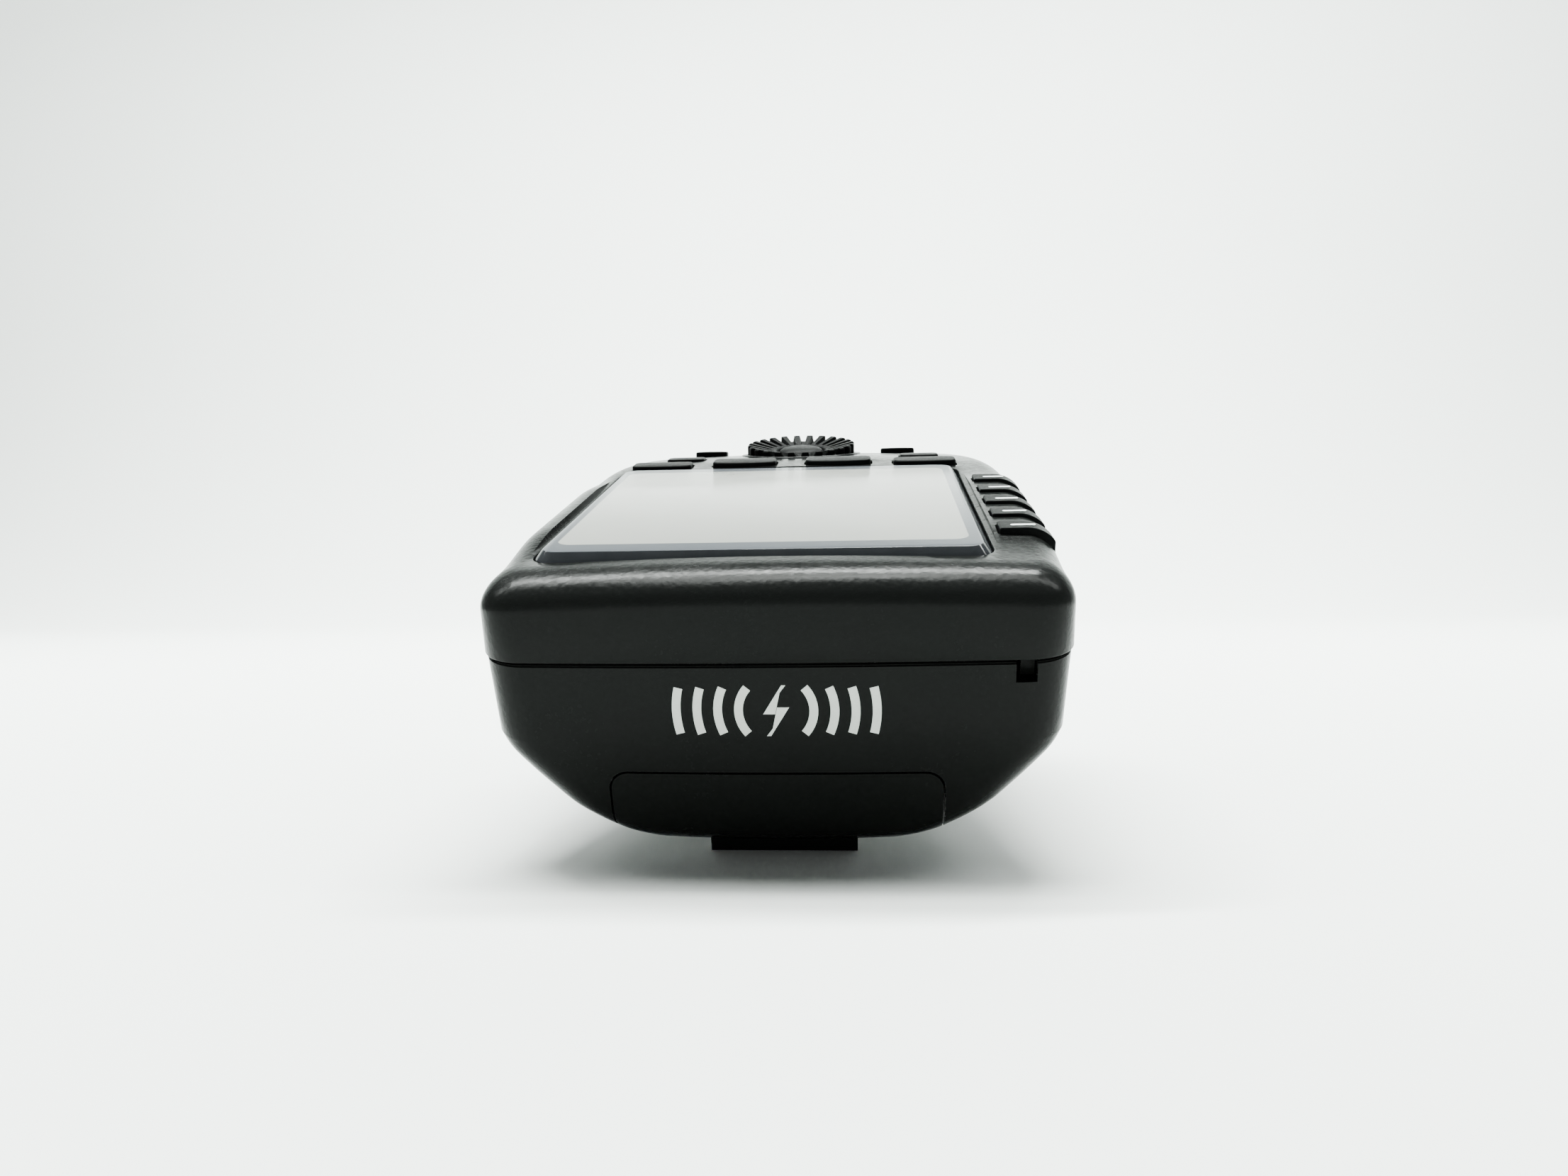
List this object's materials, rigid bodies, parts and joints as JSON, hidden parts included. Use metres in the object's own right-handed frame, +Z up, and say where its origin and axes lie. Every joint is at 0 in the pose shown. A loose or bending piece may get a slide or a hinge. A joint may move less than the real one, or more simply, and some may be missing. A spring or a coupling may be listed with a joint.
{
  "type": "wireless flash trigger",
  "caption": "Hot-shoe wireless flash trigger with a screen window, side and rear keys, a knurled dial, an underside battery lid and a locking shoe foot.",
  "frame": {"origin": "centre of the bounding box's bottom, on the table that the object rests on", "axes": "+Z up from the table, -Y towards the nose (the battery lid's end), +Y towards the dial, +X to the right when looking from the nose. The body itself is tipped about 16.1 degrees nose down, as it rests on its lid's grip bar and its shoe plate's front edge."},
  "size_m": [0.0582, 0.087, 0.0507],
  "materials": {
    "casing_black": "fine matte moulded texture",
    "key_black": "satin",
    "screen_glass": "clear gloss over a blue-grey printed border",
    "display_grey": "light grey, unlit",
    "light_white": "white",
    "key_rubber": "matte",
    "circuit_board": "green solder mask",
    "plated_metal": "plated",
    "shoe_steel": "brushed",
    "contact_brass": "polished",
    "cell_wrapper": "printed wrapper"
  },
  "bodies": {
    "casing": {"battery_cell_left": "cell_wrapper", "battery_cell_right": "cell_wrapper", "battery_contact_bridge": "plated_metal", "battery_spring_left": "plated_metal", "battery_spring_right": "plated_metal", "battery_tray": "casing_black", "buzzer": "key_black", "casing_screw_1": "plated_metal", "casing_screw_2": "plated_metal", "casing_screw_3": "plated_metal", "casing_screw_4": "plated_metal", "contact_block": "key_black", "dial_encoder": "plated_metal", "display_backlight": "light_white", "display_frame": "casing_black", "display_panel": "display_grey", "group_key_mat": "key_rubber", "key_board": "circuit_board", "key_mat": "key_rubber", "lower_casing": "casing_black", "main_board": "circuit_board", "power_switch_body": "key_black", "processor": "key_black", "radio_shield_can": "plated_metal", "screen_window": "screen_glass", "shoe_base": "casing_black", "shoe_neck": "key_black", "shoe_plate": "shoe_steel", "shoe_plate_screw_1": "plated_metal", "shoe_plate_screw_2": "plated_metal", "shoe_plate_screw_3": "plated_metal", "shoe_plate_screw_4": "plated_metal", "sync_jack": "key_black", "upper_casing": "casing_black", "usb_socket": "plated_metal"},
    "group_key_1": {"group_key_1": "key_black"},
    "group_key_2": {"group_key_2": "key_black"},
    "group_key_3": {"group_key_3": "key_black"},
    "group_key_4": {"group_key_4": "key_black"},
    "group_key_5": {"group_key_5": "key_black"},
    "function_key_1": {"function_key_1": "key_black"},
    "function_key_2": {"function_key_2": "key_black"},
    "function_key_3": {"function_key_3": "key_black"},
    "function_key_4": {"function_key_4": "key_black"},
    "control_key_1": {"control_key_1": "key_black"},
    "control_key_2": {"control_key_2": "key_black"},
    "control_key_3": {"control_key_3": "key_black"},
    "control_key_4": {"control_key_4": "key_black"},
    "dial": {"select_dial": "key_black"},
    "set_button": {"set_button": "key_black"},
    "power_switch": {"power_switch_slider": "key_black"},
    "battery_lid": {"battery_lid": "casing_black"},
    "lock_ring": {"lock_ring": "casing_black"},
    "clamp_plate": {"clamp_plate": "plated_metal"},
    "lock_pin": {"lock_pin": "plated_metal"},
    "contact_pin_1": {"contact_pin_1": "contact_brass"},
    "contact_pin_2": {"contact_pin_2": "contact_brass"},
    "contact_pin_3": {"contact_pin_3": "contact_brass"},
    "contact_pin_4": {"contact_pin_4": "contact_brass"},
    "contact_pin_5": {"contact_pin_5": "contact_brass"}
  },
  "joints": [
    {"name": "group_key_1_press", "type": "slide", "parent": "casing", "child": "group_key_1", "axis": [0, 0.2772, -0.9608], "range_m": [0, 0.00035], "stiffness_N_per_m": 350},
    {"name": "group_key_2_press", "type": "slide", "parent": "casing", "child": "group_key_2", "axis": [0, 0.2772, -0.9608], "range_m": [0, 0.00035], "stiffness_N_per_m": 350},
    {"name": "group_key_3_press", "type": "slide", "parent": "casing", "child": "group_key_3", "axis": [0, 0.2772, -0.9608], "range_m": [0, 0.00035], "stiffness_N_per_m": 350},
    {"name": "group_key_4_press", "type": "slide", "parent": "casing", "child": "group_key_4", "axis": [0, 0.2772, -0.9608], "range_m": [0, 0.00035], "stiffness_N_per_m": 350},
    {"name": "group_key_5_press", "type": "slide", "parent": "casing", "child": "group_key_5", "axis": [0, 0.2772, -0.9608], "range_m": [0, 0.00035], "stiffness_N_per_m": 350},
    {"name": "function_key_1_press", "type": "slide", "parent": "casing", "child": "function_key_1", "axis": [0, 0.2628, -0.9649], "range_m": [0, 0.0004], "stiffness_N_per_m": 350},
    {"name": "function_key_2_press", "type": "slide", "parent": "casing", "child": "function_key_2", "axis": [0, 0.2628, -0.9649], "range_m": [0, 0.0004], "stiffness_N_per_m": 350},
    {"name": "function_key_3_press", "type": "slide", "parent": "casing", "child": "function_key_3", "axis": [0, 0.2628, -0.9649], "range_m": [0, 0.0004], "stiffness_N_per_m": 350},
    {"name": "function_key_4_press", "type": "slide", "parent": "casing", "child": "function_key_4", "axis": [0, 0.2628, -0.9649], "range_m": [0, 0.0004], "stiffness_N_per_m": 350},
    {"name": "control_key_1_press", "type": "slide", "parent": "casing", "child": "control_key_1", "axis": [0, 0.2008, -0.9796], "range_m": [0, 0.0004], "stiffness_N_per_m": 350},
    {"name": "control_key_2_press", "type": "slide", "parent": "casing", "child": "control_key_2", "axis": [0, 0.2008, -0.9796], "range_m": [0, 0.0004], "stiffness_N_per_m": 350},
    {"name": "control_key_3_press", "type": "slide", "parent": "casing", "child": "control_key_3", "axis": [0, 0.1131, -0.9936], "range_m": [0, 0.0004], "stiffness_N_per_m": 350},
    {"name": "control_key_4_press", "type": "slide", "parent": "casing", "child": "control_key_4", "axis": [0, 0.1131, -0.9936], "range_m": [0, 0.0004], "stiffness_N_per_m": 350},
    {"name": "dial_turn", "type": "hinge", "parent": "casing", "child": "dial", "pos_m": [-0.00035, 0.0241, 0.04841], "axis": [0, -0.2772, 0.9608], "continuous": true},
    {"name": "set_button_press", "type": "slide", "parent": "casing", "child": "set_button", "axis": [0, 0.2772, -0.9608], "range_m": [0, 0.0004], "stiffness_N_per_m": 350},
    {"name": "power_switch_slide", "type": "slide", "parent": "casing", "child": "power_switch", "axis": [0, 0.9608, 0.2772], "range_m": [0, 0.0032]},
    {"name": "battery_lid_slide", "type": "slide", "parent": "casing", "child": "battery_lid", "axis": [0, -0.9608, -0.2772], "range_m": [0, 0.006]},
    {"name": "lock_ring_turn", "type": "hinge", "parent": "casing", "child": "lock_ring", "pos_m": [0.00015, 0.02404, 0.00353], "axis": [0, -0.3923, 0.9199], "range_deg": [0, 100]},
    {"name": "clamp_plate_slide", "type": "slide", "parent": "casing", "child": "clamp_plate", "axis": [0, 0.3923, -0.9199], "range_m": [0, 0.001]},
    {"name": "lock_pin_slide", "type": "slide", "parent": "casing", "child": "lock_pin", "axis": [0, 0.3923, -0.9199], "range_m": [0, 0.0012]},
    {"name": "contact_pin_1_press", "type": "slide", "parent": "casing", "child": "contact_pin_1", "axis": [0, -0.3923, 0.9199], "range_m": [0, 0.0004], "stiffness_N_per_m": 300},
    {"name": "contact_pin_2_press", "type": "slide", "parent": "casing", "child": "contact_pin_2", "axis": [0, -0.3923, 0.9199], "range_m": [0, 0.0004], "stiffness_N_per_m": 300},
    {"name": "contact_pin_3_press", "type": "slide", "parent": "casing", "child": "contact_pin_3", "axis": [0, -0.3923, 0.9199], "range_m": [0, 0.0004], "stiffness_N_per_m": 300},
    {"name": "contact_pin_4_press", "type": "slide", "parent": "casing", "child": "contact_pin_4", "axis": [0, -0.3923, 0.9199], "range_m": [0, 0.0004], "stiffness_N_per_m": 300},
    {"name": "contact_pin_5_press", "type": "slide", "parent": "casing", "child": "contact_pin_5", "axis": [0, -0.3923, 0.9199], "range_m": [0, 0.0004], "stiffness_N_per_m": 300}
  ],
  "couplings": [
    {"joint": "lock_ring_turn", "follows": "clamp_plate_slide", "rad_per_m": 1740},
    {"joint": "lock_pin_slide", "follows": "clamp_plate_slide", "ratio": 1.19}
  ]
}
